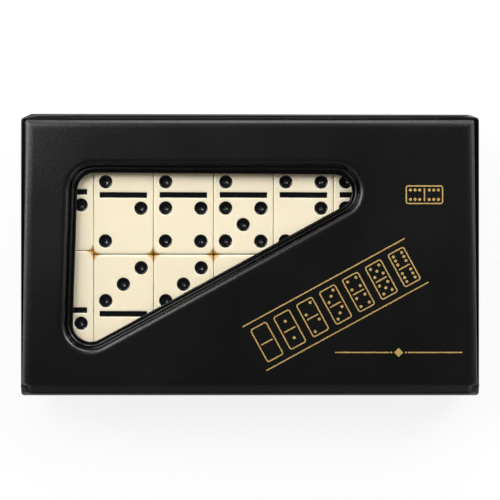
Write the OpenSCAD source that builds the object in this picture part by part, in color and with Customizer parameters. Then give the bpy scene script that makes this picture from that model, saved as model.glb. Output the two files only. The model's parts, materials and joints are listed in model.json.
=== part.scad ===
// Vinyl case for a double-six set of dominoes, with a window in its lid.
// Millimetres. X runs along the case, Y from the front flap to the spine, Z up.
// The origin lies on the underside, below the middle of the closed case.

/* [Dominoes] */
// Length of a domino
tile_length = 39.4; // [36:0.1:46]
// Width of a domino
tile_width = 19.9; // [18:0.1:24]
// Thickness of a domino
tile_thickness = 6; // [5:0.1:8]
// Corner radius of a domino, seen from above
tile_corner_r = 1.5; // [0.8:0.1:2.5]
// Radius of a domino's long edges
tile_edge_r = 0.9; // [0.4:0.05:1.4]
// Diameter of a pip at the face
pip_d = 4.3; // [3:0.1:4.8]
// Depth of a pip
pip_depth = 0.6; // [0.3:0.05:0.9]
// Distance of the outer pips from the middle of their half, across the domino
pip_x = 5.9; // [5:0.1:6.5]
// The same distance along the domino
pip_y = 5.5; // [5:0.1:6.3]
// Length of the dividing bar
bar_length = 15.9; // [10:0.1:17]
// Width of the dividing bar
bar_width = 1.9; // [1:0.1:2.4]
// Depth of the dividing bar
bar_depth = 0.4; // [0.2:0.05:0.6]

/* [Packing] */
// Gap between neighbours in a row
tile_gap = 0.12; // [0.05:0.01:0.4]
// Gap between the back and the front row
row_gap = 0.25; // [0.1:0.01:1]
// Gap under each layer of dominoes
seat_gap = 0.05; // [0.02:0.01:0.2]
// Gap between the first column and the left wall
left_gap = 0.05; // [0.02:0.01:0.3]
// Free length beside the rows, in which they slide
side_play = 4.45; // [4.3:0.05:9]
// Free depth in front of the front row
front_play = 1.1; // [1.1:0.05:4]
// Free depth behind the back row
back_play = 2.7; // [1.4:0.05:5]
// How far the lower layer lies further back than the upper one
lower_shift = 1.2; // [0:0.05:1.5]
// How far the first domino of the upper back row has slid back
first_back_shift = 1.05; // [0:0.01:1.1]
// Gap between the first dominoes of the two upper rows
first_gap = 0.05; // [0.02:0.01:0.5]
// Free height above the dominoes, up to the rim
headroom = 0.7; // [0.4:0.05:3]

/* [Sheets] */
// Thickness of the outer vinyl
cover_t = 0.5; // [0.3:0.05:0.7]
// Thickness of the inner lining
lining_t = 0.3; // [0.2:0.05:0.5]
// Thickness of the wall boards
wall_board_t = 2.5; // [1.5:0.1:3]
// Thickness of the floor board
floor_board_t = 1.6; // [1.2:0.1:3]
// Thickness of the lid board
lid_board_t = 1.6; // [1.2:0.1:2.4]
// Thickness of the foam pad in the lid
lid_foam_t = 0.8; // [0.5:0.05:1.6]
// Thickness of the flap board
flap_board_t = 1.1; // [1:0.05:1.6]
// Thickness of the window film
film_t = 0.25; // [0.15:0.01:0.4]
// Corner radius of the base, seen from above
base_corner_r = 1; // [0.6:0.1:1.6]

/* [Lid] */
// Gap between the rim and the lid
lid_gap = 0.2; // [0.1:0.05:0.4]
// How far the lid reaches past the base on each side
lid_overhang = 0.35; // [0:0.05:0.6]
// Width of the weld flange beside the pad, at the flap
side_flange_front = 0.15; // [0.05:0.05:1.2]
// Width of the weld flange beside the pad, at the spine
side_flange_back = 1.3; // [0.1:0.05:2]
// Width of the weld flange between the pad and the spine
back_flange = 0.9; // [0.5:0.05:2]
// Gap between the lid's flange and the fold of the spine
hinge_gap = 0.05; // [0.03:0.01:0.15]
// How far the pad stays behind the front wall's face
front_setback = 0.3; // [0.25:0.05:1]
// Radius of the lid's padded edge
lid_roll_r = 1.8; // [1.2:0.05:2]

/* [Window] */
// Distance from the lid's left edge to the window's cut edge, at the back
window_left = 18.5; // [12:0.1:40]
// Distance from the spine side of the pad to the window's cut edge
window_back = 17.35; // [12:0.1:24]
// Length of the window along its back edge
window_length = 91.3; // [70:0.1:100]
// Depth of the window along its left edge
window_depth = 56.15; // [40:0.1:60]
// How far the left edge leans outwards at the front
window_lean = 1.5; // [0:0.1:4]
// Corner radius of the cut edge
window_corner_r = 6; // [4:0.1:9]
// Width of the flat welded lip inside the rolled edge
window_lip = 1.8; // [1.45:0.05:2.2]
// Radius of the rolled edge round the window
window_roll_r = 1.9; // [1.2:0.05:2]
// Distance of the weld bead from the cut edge
bead_inset = 1; // [0.5:0.01:1.4]
// Radius of the weld bead
bead_r = 0.35; // [0.15:0.01:0.4]
// How far the film reaches under the lip
film_margin = 1.6; // [1:0.05:2]

/* [Spine and folds] */
// How far the padded spine bulges out behind the base
spine_bulge = 1; // [0.8:0.05:1.2]
// Radius of the spine's upper and lower edge
spine_edge_r = 0.8; // [0.4:0.05:0.9]
// Length over which the spine's ends taper
spine_taper = 3; // [1:0.1:6]
// Distance of the spine's ends from the sides of the base
spine_inset = 0.3; // [0:0.1:3]
// Height of the spine's lower edge
spine_bottom = 1.2; // [0.5:0.1:3]
// Inner radius of the roll that carries the lid
hinge_loop = 0.2; // [0.1:0.05:0.4]
// Depth of the roll's web below the lid's flange
hinge_drop = 0.15; // [0.05:0.05:0.3]
// Height of the lid's fold above the padded spine
hinge_fold_h = 2; // [1.8:0.1:3]
// Depth of the valley between the lid's pad and the flap's fold
fold_drop = 0.25; // [0.1:0.05:0.6]
// Thickness of the welded sheets in the flap's fold
fold_t = 0.6; // [0.5:0.05:0.8]
// Angle by which the flap's fold reaches back over the front wall
fold_lap = 10; // [8:1:14]

/* [Flap] */
// Gap between the front wall and the flap
flap_gap = 0.85; // [0.8:0.05:1.2]
// Height of the flap's lower edge
flap_bottom = 1.2; // [0.6:0.1:4]
// Height of the fold above the flap's panel
flap_fold_h = 2.2; // [2:0.1:4]
// Width of the weld flange round the flap's pad
flap_flange = 1; // [0.6:0.1:2]
// Radius of the flap's padded edge
flap_roll_r = 0.9; // [0.6:0.05:0.95]
// Corner radius of the flap
flap_corner_r = 3; // [1.5:0.1:5]

/* [Press studs] */
// Distance of each press stud from the middle of the case
snap_x = 46; // [20:0.5:60]
// Height of the press studs
snap_z = 7.4; // [7:0.1:7.8]
// Diameter of a cap
cap_d = 10; // [9:0.1:10.8]
// Height of a cap
cap_h = 0.85; // [0.6:0.05:1.2]
// Rise of a cap's dome
cap_dome = 0.4; // [0.2:0.05:0.5]
// Diameter of a cap's shank
cap_shank_d = 2.4; // [2:0.1:2.6]
// Diameter of a socket's flange
socket_d = 8.2; // [7:0.1:9]
// Diameter of a socket's hub
socket_hub_d = 5.6; // [5.2:0.1:6]
// Diameter of a socket's mouth
socket_bore_d = 4; // [3.9:0.05:4.4]
// Thickness of a socket's closed end
socket_end_t = 0.2; // [0.15:0.01:0.3]
// Diameter of a stud's flange
stud_flange_d = 7; // [6:0.1:8]
// Thickness of a stud's flange
stud_flange_t = 0.3; // [0.2:0.01:0.35]
// Diameter of a stud's head
stud_head_d = 3.4; // [3:0.05:3.5]
// Height of a stud's head
stud_head_h = 0.5; // [0.3:0.05:0.7]
// Diameter of a stud's neck
stud_neck_d = 2.8; // [2.6:0.05:2.9]
// Diameter of a stud's rivet shank
stud_shank_d = 2.4; // [2:0.1:2.5]
// Diameter of the eyelet inside the tray
eyelet_d = 6; // [5:0.1:7]
// Thickness of the eyelet's head
eyelet_t = 0.5; // [0.3:0.05:0.8]

/* [Hidden] */
$fn = 48;
columns = 7;
// Overlap of solids that are fused, clearance of pieces that fit together, overshoot of cuts
eps = 0.01;
fit = 0.05;
over = 1;

// Dominoes by row, from left to right: pips of the half at the spine, then at the flap
UPPER_BACK = [[0, 2], [2, 2], [3, 4], [3, 5], [6, 2], [5, 6], [1, 4]];
UPPER_FRONT = [[1, 3], [3, 3], [3, 6], [1, 5], [4, 6], [0, 0], [5, 5]];
LOWER_BACK = [[0, 1], [0, 3], [0, 4], [0, 5], [0, 6], [1, 1], [1, 2]];
LOWER_FRONT = [[1, 6], [2, 3], [2, 4], [2, 5], [4, 4], [4, 5], [6, 6]];
ROWS = [LOWER_BACK, LOWER_FRONT, UPPER_BACK, UPPER_FRONT];

function domino_name(pips) = str("domino_", min(pips), "_", max(pips));

CASE_NODES = [
    "bottom_cover", "floor_board", "front_wall_board", "back_wall_board",
    "left_wall_board", "right_wall_board", "wall_cover", "tray_lining",
    "spine_foam", "spine_cover", "hinge_fold", "snap_studs", "snap_eyelets",
    "lid_board", "lid_foam", "lid_cover", "lid_lining", "window_film", "flap_fold",
    "flap_board", "flap_cover", "flap_lining", "snap_caps", "snap_sockets"
];
DOMINO_NODES = [for (row = ROWS) for (pips = row) domino_name(pips)];

// Plan of the tray and the base
wall_t = cover_t + wall_board_t + lining_t;
tray_x = columns * tile_width + (columns - 1) * tile_gap + left_gap + side_play;
tray_y = 2 * tile_length + row_gap + front_play + back_play;
base_x = tray_x + 2 * wall_t;
base_y = tray_y + 2 * wall_t;
flap_t = cover_t + flap_board_t + lining_t;
case_y = cap_h + flap_t + flap_gap + base_y + spine_bulge;
base_back = case_y / 2 - spine_bulge;
base_front = base_back - base_y;
tray_back = base_back - wall_t;
tray_front = base_front + wall_t;
tray_left = -tray_x / 2;
spine_face = base_back + spine_bulge;
flap_inner = base_front - flap_gap;
flap_outer = flap_inner - flap_t;

// Heights of the base
floor_z = cover_t + floor_board_t;
tray_z = floor_z + lining_t;
layer_h = seat_gap + tile_thickness;
rim_z = tray_z + 2 * layer_h + headroom;
wall_top = rim_z - cover_t;

// Plan and heights of the lid
lid_x = base_x + 2 * lid_overhang;
lid_z = rim_z + lid_gap;
flange_z = lid_z + lining_t;
board_top = flange_z + lid_board_t;
foam_top = board_top + lid_foam_t;
lid_top = foam_top + cover_t;
lid_back = base_back - 2 * hinge_gap;
pad_back = lid_back - back_flange;
pad_front = base_front + front_setback;
pad_taper = atan2(side_flange_back - side_flange_front, pad_back - pad_front);

// Window, with the centres of its corner arcs counterclockwise from the back right one
lip_z = flange_z + film_t + cover_t;
window_x0 = -lid_x / 2 + window_left + window_corner_r;
window_y0 = pad_back - window_back - window_corner_r;
WINDOW = [
    [window_x0 + window_length - 2 * window_corner_r, window_y0],
    [window_x0, window_y0],
    [window_x0 - window_lean, window_y0 - window_depth + 2 * window_corner_r]
];

// Hinge lines of the lid and the flap
hinge_r = cover_t + hinge_loop;
hinge_y = spine_face - hinge_r;
hinge_z = flange_z + cover_t - hinge_drop - hinge_r;
spine_top = flange_z + lining_t - hinge_fold_h;
fold_r = base_front - flap_outer;
fold_z = lid_top - fold_drop - fold_r;
flap_top = fold_z - flap_fold_h;

// ---------------------------------------------------------------- outlines

// Rectangle about the origin with round corners
module round_rect(x, y, r) {
    square([x - 2 * r, y], center = true);
    square([x, y - 2 * r], center = true);
    for (sx = [-1, 1], sy = [-1, 1])
        translate([sx * (x / 2 - r), sy * (y / 2 - r)]) circle(r = r);
}

// Section of a padded slab: width along X, height along Y, both upper corners rolled
module rolled_section(w, h, r) {
    translate([-w / 2, 0]) square([w, h - r]);
    translate([-w / 2 + r, 0]) square([w - 2 * r, h]);
    for (s = [-1, 1]) translate([s * (w / 2 - r), h - r]) circle(r = r);
}

// Section of a padded slab whose rolled edge lies at x = 0 and which runs on to x = reach
module edge_section(reach, h, r) {
    square([reach, h - r]);
    translate([r, 0]) square([reach - r, h]);
    translate([r, h - r]) circle(r = r);
}

function normal_angle(a, b) = atan2(b[1] - a[1], b[0] - a[0]) - 90;
function turn_up(a, b) = b < a ? b + 360 : b;

// Points of the loop round three arc centres, each arc in equal steps
function window_loop(d, steps = 10) = [
    for (k = [0:2])
        let (
            c = WINDOW[k],
            a0 = normal_angle(WINDOW[(k + 2) % 3], c),
            a1 = turn_up(a0, normal_angle(c, WINDOW[(k + 1) % 3]))
        )
        for (i = [0:steps])
            let (a = a0 + (a1 - a0) * i / steps)
            c + (window_corner_r + d) * [cos(a), sin(a)]
];

// Solid whose outline at each height is the window's loop, moved out by d: rings of [d, z]
module window_stack(rings) {
    loops = [for (ring = rings) [for (p = window_loop(ring[0])) [p[0], p[1], ring[1]]]];
    n = len(loops[0]);
    levels = len(rings);
    sides = [
        for (j = [0:levels - 2], i = [0:n - 1])
            let (i2 = (i + 1) % n)
            [j * n + i, (j + 1) * n + i, (j + 1) * n + i2, j * n + i2]
    ];
    bottom = [[for (i = [0:n - 1]) i]];
    top = [[for (i = [n - 1:-1:0]) (levels - 1) * n + i]];
    polyhedron(points = [for (loop = loops) for (p = loop) p], faces = concat(sides, bottom, top));
}

// Quarter-round of rings from the wall of the window's roll up to the pad's face, ending just past it
function roll_rings(inset, steps = 5) = [
    for (i = [0:steps])
        let (t = 90 * i / steps, r = window_roll_r - inset)
        [window_lip + window_roll_r - r * cos(t), lid_top - window_roll_r + r * sin(t) + eps]
];

// Half-round bead on the lip
bead_rings = [
    for (i = [0:4])
        let (t = 180 - 45 * i)
        [bead_inset + bead_r * cos(t), lip_z + bead_r * sin(t)]
];

// ---------------------------------------------------------------- base

module base_block(inset, z0, z1) {
    translate([-base_x / 2 + inset, base_front + inset, z0])
        cube([base_x - 2 * inset, base_y - 2 * inset, z1 - z0]);
}

module round_base_block(z0, z1) {
    translate([0, (base_front + base_back) / 2, z0])
        linear_extrude(height = z1 - z0) round_rect(base_x, base_y, base_corner_r);
}

// Holes for the rivet shanks of the press studs, through the front wall
module stud_holes() {
    for (s = [-1, 1])
        translate([s * snap_x, tray_front + eps, snap_z]) rotate([90, 0, 0])
            cylinder(d = stud_shank_d + 2 * fit, h = wall_t + 2 * eps);
}

module bottom_cover() {
    color([0.06, 0.06, 0.06]) round_base_block(0, cover_t);
}

module floor_board() {
    color([0.52, 0.48, 0.42]) base_block(cover_t, cover_t, floor_z);
}

// Board of a side wall: side is -1 on the left and 1 on the right
module side_wall_board(side) {
    x = tray_x / 2 + lining_t;
    color([0.52, 0.48, 0.42])
        translate([side > 0 ? x : -x - wall_board_t, base_front + cover_t, floor_z])
            cube([wall_board_t, base_y - 2 * cover_t, wall_top - floor_z]);
}

// Board between the side walls, with its front face at y
module cross_wall_board(y) {
    color([0.52, 0.48, 0.42])
        translate([-tray_x / 2 - lining_t, y, floor_z])
            cube([tray_x + 2 * lining_t, wall_board_t, wall_top - floor_z]);
}

module front_wall_board() {
    difference() {
        cross_wall_board(base_front + cover_t);
        stud_holes();
    }
}

module back_wall_board() {
    cross_wall_board(base_back - cover_t - wall_board_t);
}

module left_wall_board() {
    side_wall_board(-1);
}

module right_wall_board() {
    side_wall_board(1);
}

module wall_cover() {
    color([0.06, 0.06, 0.06]) difference() {
        round_base_block(cover_t, rim_z);
        base_block(cover_t, 0, wall_top);
        base_block(wall_t, 0, rim_z + over);
        stud_holes();
    }
}

module tray_lining() {
    color([0.10, 0.10, 0.10]) difference() {
        base_block(wall_t - lining_t, floor_z, wall_top);
        base_block(wall_t, tray_z, wall_top + over);
        stud_holes();
    }
}

// ---------------------------------------------------------------- spine

// Prism over the spine, with its ends drawn in towards the base
module spine_plan(inset, z0, z1) {
    half = base_x / 2 - spine_inset - 2 * inset;
    translate([0, 0, z0]) linear_extrude(height = z1 - z0)
        polygon([
            [-half, base_back], [half, base_back],
            [half - spine_taper, spine_face - inset], [-half + spine_taper, spine_face - inset]
        ]);
}

// Padded slab on the back wall, both long edges rolled
module spine_slab(inset) {
    h = spine_top - spine_bottom - 2 * inset;
    intersection() {
        spine_plan(inset, spine_bottom, spine_top);
        translate([0, base_back, (spine_bottom + spine_top) / 2]) rotate([0, -90, 0])
            linear_extrude(height = base_x, center = true)
                rolled_section(h, spine_bulge - inset, max(spine_edge_r - inset, fit));
    }
}

module spine_cover() {
    color([0.06, 0.06, 0.06]) difference() {
        spine_slab(0);
        spine_slab(cover_t);
    }
}

module spine_foam() {
    color([0.85, 0.84, 0.80]) spine_slab(cover_t);
}

// Roll of vinyl from the spine over the back wall to the lid's flange
module hinge_fold() {
    color([0.06, 0.06, 0.06]) intersection() {
        rotate([90, 0, 90]) linear_extrude(height = base_x, center = true) {
            difference() {
                translate([hinge_y, hinge_z]) circle(r = hinge_r);
                translate([hinge_y, hinge_z]) circle(r = hinge_r - cover_t);
                translate([hinge_y - 2 * hinge_r, hinge_z - 2 * hinge_r])
                    square([4 * hinge_r, 2 * hinge_r]);
                translate([hinge_y - 2 * hinge_r, hinge_z - hinge_r])
                    square([2 * hinge_r, 4 * hinge_r]);
            }
            translate([spine_face - cover_t, spine_top])
                square([cover_t, hinge_z - spine_top + eps]);
            translate([lid_back + hinge_gap, hinge_z + hinge_r - cover_t])
                square([hinge_y - lid_back - hinge_gap + eps, cover_t]);
        }
        union() {
            spine_plan(0, spine_top, lid_top);
            translate([-base_x / 2 + spine_inset, base_back - back_flange, spine_top])
                cube([base_x - 2 * spine_inset, back_flange + eps, lid_top - spine_top]);
        }
    }
}

// ---------------------------------------------------------------- lid

// Half-space of the pad beside its left edge, which leans in towards the spine
module left_of_pad(inset) {
    reach = lid_x + base_y;
    translate([-lid_x / 2 + side_flange_front + inset, pad_front, flange_z])
        rotate([0, 0, -pad_taper]) translate([0, reach / 2, 0]) rotate([90, 0, 0])
            linear_extrude(height = reach)
                edge_section(reach, lid_top - inset - flange_z, lid_roll_r - inset);
}

// Padded panel of the lid, moved in by inset from its outer faces
module lid_pad(inset) {
    intersection() {
        left_of_pad(inset);
        mirror([1, 0, 0]) left_of_pad(inset);
        translate([0, (pad_front + pad_back) / 2, flange_z])
            rotate([90, 0, 90]) linear_extrude(height = 2 * lid_x, center = true)
                rolled_section(pad_back - pad_front - 2 * inset, lid_top - inset - flange_z,
                               lid_roll_r - inset);
    }
}

// Plan of the pad, moved in by inset
module pad_plan(inset) {
    front = lid_x / 2 - side_flange_front - inset;
    back = lid_x / 2 - side_flange_back - inset;
    polygon([
        [-front, pad_front + inset], [front, pad_front + inset],
        [back, pad_back - inset], [-back, pad_back - inset]
    ]);
}

module lid_plate(z0, z1) {
    translate([-lid_x / 2, pad_front, z0]) cube([lid_x, lid_back - pad_front, z1 - z0]);
}

module lid_lining() {
    color([0.10, 0.10, 0.10]) difference() {
        lid_plate(lid_z, flange_z);
        translate([0, 0, lid_z - over]) linear_extrude(height = lining_t + 2 * over)
            polygon(window_loop(0));
    }
}

module window_film() {
    color([0.9, 0.95, 1, 0.3]) translate([0, 0, flange_z])
        linear_extrude(height = film_t) polygon(window_loop(film_margin));
}

// Distance from the pad's edge at which a flat layer with this top fits under the roll
function under_roll(r, top) =
    r - sqrt(pow(r - cover_t, 2) - pow(max(0, top - lid_top + r), 2)) + 2 * fit;

module lid_layer(z0, z1, inset, window_inset) {
    translate([0, 0, z0]) linear_extrude(height = z1 - z0) difference() {
        pad_plan(inset);
        polygon(window_loop(window_lip + window_inset));
    }
}

module lid_board() {
    color([0.52, 0.48, 0.42])
        lid_layer(flange_z, board_top, under_roll(lid_roll_r, board_top),
                  under_roll(window_roll_r, board_top));
}

module lid_foam() {
    color([0.85, 0.84, 0.80])
        lid_layer(board_top, foam_top, lid_roll_r + fit, window_roll_r + fit);
}

module lid_cover() {
    color([0.06, 0.06, 0.06]) difference() {
        union() {
            lid_pad(0);
            lid_plate(flange_z, flange_z + cover_t);
        }
        difference() {
            lid_pad(cover_t);
            window_stack(concat(
                [[window_lip + cover_t, lid_z]], roll_rings(cover_t),
                [[window_lip + window_roll_r, lid_top]]
            ));
        }
        translate([0, 0, lid_z]) linear_extrude(height = flange_z + film_t - lid_z)
            polygon(window_loop(film_margin + fit));
        window_stack(concat(
            [[0, lid_z]], [[0, lip_z]], bead_rings, [[window_lip, lip_z]], roll_rings(0),
            [[window_lip + window_roll_r, lid_top + over]]
        ));
    }
}

// Bend of the vinyl from the lid's front edge down to the flap
module flap_fold() {
    far = 4 * fold_r;
    color([0.06, 0.06, 0.06])
        rotate([90, 0, 90]) linear_extrude(height = lid_x - 2 * lid_overhang, center = true) {
            translate([base_front, fold_z]) intersection() {
                difference() {
                    circle(r = fold_r);
                    circle(r = fold_r - fold_t);
                }
                polygon([[0, 0], far * [sin(fold_lap), cos(fold_lap)], [-far, far], [-far, 0]]);
            }
            translate([flap_outer, flap_top]) square([fold_t, fold_z - flap_top + eps]);
        }
}

// ---------------------------------------------------------------- flap

// Lays a flat piece on the flap's inner face: its X stays, its Y points up, its Z outwards
module on_flap(z = 0) {
    translate([0, flap_inner - z, 0]) rotate([90, 0, 0]) children();
}

// Outline of the flap, moved in by inset, with round lower corners; top_inset lowers its upper edge
module flap_plan(inset, top_inset = 0) {
    w = lid_x - 2 * lid_overhang - 2 * inset;
    h = flap_top - flap_bottom - inset - top_inset;
    r = max(flap_corner_r - inset, fit);
    translate([-w / 2, flap_bottom + inset + r]) square([w, h - r]);
    translate([-w / 2 + r, flap_bottom + inset]) square([w - 2 * r, h]);
    for (s = [-1, 1]) translate([s * (w / 2 - r), flap_bottom + inset + r]) circle(r = r);
}

// Padded slab of the flap: flat at its upper edge, rolled along the other three
module flap_pad(inset) {
    w = lid_x - 2 * lid_overhang - 2 * flap_flange - 2 * inset;
    low = flap_bottom + flap_flange + inset;
    high = flap_top - inset;
    rise = flap_t - inset;
    r = flap_roll_r - inset;
    intersection() {
        translate([0, flap_inner, low]) mirror([0, 1, 0])
            linear_extrude(height = high - low) rolled_section(w, rise, r);
        translate([0, flap_inner, low]) rotate([0, -90, 180])
            linear_extrude(height = w + over, center = true) edge_section(high - low, rise, r);
        on_flap() linear_extrude(height = rise) flap_plan(flap_flange + inset);
    }
}

module socket_hole(d, depth) {
    for (s = [-1, 1])
        translate([s * snap_x, flap_inner + eps, snap_z]) rotate([90, 0, 0])
            cylinder(d = d, h = depth);
}

module flap_lining() {
    color([0.10, 0.10, 0.10]) difference() {
        on_flap() linear_extrude(height = lining_t) flap_plan(0);
        socket_hole(socket_hub_d + 2 * fit, flap_t);
    }
}

module flap_board() {
    color([0.52, 0.48, 0.42]) difference() {
        on_flap(lining_t) linear_extrude(height = flap_board_t)
            flap_plan(flap_flange + flap_roll_r, cover_t + fit);
        socket_hole(socket_hub_d + 2 * fit, flap_t);
    }
}

module flap_cover() {
    color([0.06, 0.06, 0.06]) difference() {
        union() {
            difference() {
                flap_pad(0);
                on_flap(-over) linear_extrude(height = over + lining_t)
                    square(2 * lid_x, center = true);
            }
            on_flap(lining_t) linear_extrude(height = cover_t) flap_plan(0);
        }
        flap_pad(cover_t);
        socket_hole(cap_shank_d + 2 * fit, flap_t + over);
    }
}

// ---------------------------------------------------------------- press studs

// Puts a turned piece at both press studs: its axis points out of the case from depth y
module at_snaps(y) {
    for (s = [-1, 1]) translate([s * snap_x, y, snap_z]) rotate([90, 0, 0]) children();
}

// Depth from the flap's inner face to the back of a socket's hub
hub_depth = lining_t + flap_board_t - fit;

module snap_caps() {
    dome_r = (pow(cap_d / 2, 2) + pow(cap_dome, 2)) / (2 * cap_dome);
    color([0.08, 0.08, 0.08]) at_snaps(flap_outer) {
        intersection() {
            cylinder(d = cap_d, h = cap_h);
            translate([0, 0, cap_h - dome_r]) sphere(r = dome_r, $fn = 180);
        }
        translate([0, 0, hub_depth - flap_t]) cylinder(d = cap_shank_d, h = flap_t - hub_depth + eps);
    }
}

module snap_sockets() {
    lip = flap_gap - stud_flange_t - 4 * fit;
    color([0.72, 0.70, 0.66]) at_snaps(flap_inner + lip) difference() {
        union() {
            cylinder(d = socket_d, h = lip);
            cylinder(d = socket_hub_d, h = lip + hub_depth);
        }
        translate([0, 0, -over])
            cylinder(d = socket_bore_d, h = over + lip + hub_depth - socket_end_t);
    }
}

module snap_studs() {
    reach = flap_gap + hub_depth - socket_end_t - 4 * fit;
    color([0.72, 0.70, 0.66]) at_snaps(base_front) {
        cylinder(d = stud_flange_d, h = stud_flange_t);
        cylinder(d = stud_neck_d, h = reach);
        translate([0, 0, reach - stud_head_h]) cylinder(d = stud_head_d, h = stud_head_h);
        translate([0, 0, -wall_t - eyelet_t]) cylinder(d = stud_shank_d, h = wall_t + eyelet_t + eps);
    }
}

module snap_eyelets() {
    color([0.72, 0.70, 0.66]) at_snaps(tray_front + eyelet_t) difference() {
        cylinder(d = eyelet_d, h = eyelet_t);
        translate([0, 0, -over]) cylinder(d = stud_shank_d + 2 * fit, h = eyelet_t + 2 * over);
    }
}

// ---------------------------------------------------------------- dominoes

// Places of the pips in one half, seen with the bar below it
function pip_places(n) = [
    if (n % 2 == 1) [0, 0],
    if (n >= 2) each [[-1, -1], [1, 1]],
    if (n >= 4) each [[-1, 1], [1, -1]],
    if (n == 6) each [[-1, 0], [1, 0]]
];

module domino_blank() {
    linear_extrude(height = tile_thickness) round_rect(tile_width, tile_length, tile_corner_r);
}

// One domino, standing on its blank side, with pips[0] in the half towards +Y
module domino(pips) {
    dome_r = (pow(pip_d / 2, 2) + pow(pip_depth, 2)) / (2 * pip_depth);
    color([0.97, 0.93, 0.82]) difference() {
        intersection() {
            domino_blank();
            translate([0, 0, tile_thickness / 2]) rotate([90, 0, 0])
                linear_extrude(height = tile_length, center = true)
                    round_rect(tile_width, tile_thickness, tile_edge_r);
            translate([0, 0, tile_thickness / 2]) rotate([90, 0, 90])
                linear_extrude(height = tile_width, center = true)
                    round_rect(tile_length, tile_thickness, tile_edge_r);
        }
        for (half = [0, 1], p = pip_places(pips[half]))
            translate([
                p[0] * pip_x,
                (half == 0 ? 1 : -1) * tile_length / 4 + p[1] * pip_y,
                tile_thickness - pip_depth + dome_r
            ]) sphere(r = dome_r);
        translate([-bar_length / 2, -bar_width / 2, tile_thickness - bar_depth])
            cube([bar_length, bar_width, bar_depth + over]);
    }
}

// Place of a domino: layer 0 or 1, back or front row, column from the left
function domino_x(column) =
    tray_left + left_gap + tile_width / 2 + column * (tile_width + tile_gap);
function row_y(back) =
    back ? tray_back - back_play - tile_length / 2
         : tray_front + front_play + tile_length / 2;
function shift_back(layer, back, column) =
    layer == 0 ? lower_shift :
    column > 0 ? 0 : first_back_shift + (back ? 0 : row_gap - first_gap);
function domino_z(layer) = tray_z + seat_gap + layer * layer_h;

module placed_domino(row, column) {
    layer = row < 2 ? 0 : 1;
    back = row % 2 == 0;
    translate([
        domino_x(column),
        row_y(back) + shift_back(layer, back, column),
        domino_z(layer)
    ]) domino(ROWS[row][column]);
}

// ---------------------------------------------------------------- pieces

bottom_cover();
floor_board();
front_wall_board();
back_wall_board();
left_wall_board();
right_wall_board();
wall_cover();
tray_lining();
spine_foam();
spine_cover();
hinge_fold();
snap_studs();
snap_eyelets();
lid_board();
lid_foam();
lid_cover();
lid_lining();
window_film();
flap_fold();
flap_board();
flap_cover();
flap_lining();
snap_caps();
snap_sockets();
for (row = [0:3], column = [0:columns - 1])
    placed_domino(row, column);
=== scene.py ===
# %% [markdown]
# # A vinyl case of dominoes
# This lesson dresses a flat, padded case for a double-six set of dominoes. The case's pieces come
# from a solid model as a fixed frame, so every new piece goes where that frame says. Sizes are
# written in millimetres here, and the factor MM turns them to metres.

# %% Frame
import json

import bmesh
import bpy
import numpy as np
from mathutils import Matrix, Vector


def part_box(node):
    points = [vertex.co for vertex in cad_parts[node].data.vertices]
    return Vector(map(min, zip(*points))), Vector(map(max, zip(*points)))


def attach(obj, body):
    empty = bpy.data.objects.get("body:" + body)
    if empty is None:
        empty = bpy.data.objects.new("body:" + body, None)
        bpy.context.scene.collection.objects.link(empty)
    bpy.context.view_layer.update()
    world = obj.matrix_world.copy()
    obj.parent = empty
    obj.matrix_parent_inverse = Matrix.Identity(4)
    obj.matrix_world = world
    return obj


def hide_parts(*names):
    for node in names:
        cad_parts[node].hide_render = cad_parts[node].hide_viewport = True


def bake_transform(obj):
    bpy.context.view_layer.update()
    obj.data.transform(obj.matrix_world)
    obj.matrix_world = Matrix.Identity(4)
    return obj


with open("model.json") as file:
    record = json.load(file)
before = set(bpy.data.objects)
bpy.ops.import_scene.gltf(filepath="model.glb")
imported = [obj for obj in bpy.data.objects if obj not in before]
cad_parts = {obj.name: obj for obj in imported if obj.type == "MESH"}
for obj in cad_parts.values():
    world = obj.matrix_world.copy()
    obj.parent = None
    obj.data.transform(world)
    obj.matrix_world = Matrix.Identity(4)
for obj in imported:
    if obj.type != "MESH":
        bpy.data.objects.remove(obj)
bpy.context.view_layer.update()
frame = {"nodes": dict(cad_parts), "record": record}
MM = 0.001


def box_mm(node):
    """Lowest and highest corner of a node of the frame, in millimetres."""
    return [np.array(corner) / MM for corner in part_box(node)]


# %% [markdown]
# ## Helpers for materials
# A colour is written as hex, as a picture program shows it, and turned to the linear numbers that
# shaders work in. Nodes could be placed by hand in the shader editor, but a script gives the same
# material every time. One function adds a node, sets its properties and fills or links its inputs.

# %% Colours and nodes


def linear(code):
    """Linear colour of an sRGB hex code: each channel goes through the sRGB curve backwards."""
    c = np.array([int(code[i:i + 2], 16) for i in (1, 3, 5)]) / 255
    c = np.where(c <= 0.04045, c / 12.92, ((c + 0.055) / 1.055) ** 2.4)
    return (*map(float, c), 1.0)


def add_node(tree, kind, inputs=None, **settings):
    """Adds a node to a tree; an input that is a socket is linked, and any other is set as a value."""
    node = tree.nodes.new(kind)
    for name, value in settings.items():
        setattr(node, name, value)
    for name, value in (inputs or {}).items():
        if isinstance(value, bpy.types.NodeSocket):
            tree.links.new(value, node.inputs[name])
        else:
            node.inputs[name].default_value = value
    return node


def new_material(name):
    """Empty material with an output, and its node tree."""
    material = bpy.data.materials.new(name)
    material.use_nodes = True
    tree = material.node_tree
    tree.nodes.clear()
    return material, tree, add_node(tree, "ShaderNodeOutputMaterial")


def per_mm(size):
    """Scale of a texture whose cells are this many millimetres wide, on coordinates in metres."""
    return 1 / (size * MM)


WHITE = linear("#ffffff")
print("texture scale for cells of 1 mm:", per_mm(1), "white:", WHITE)

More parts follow.
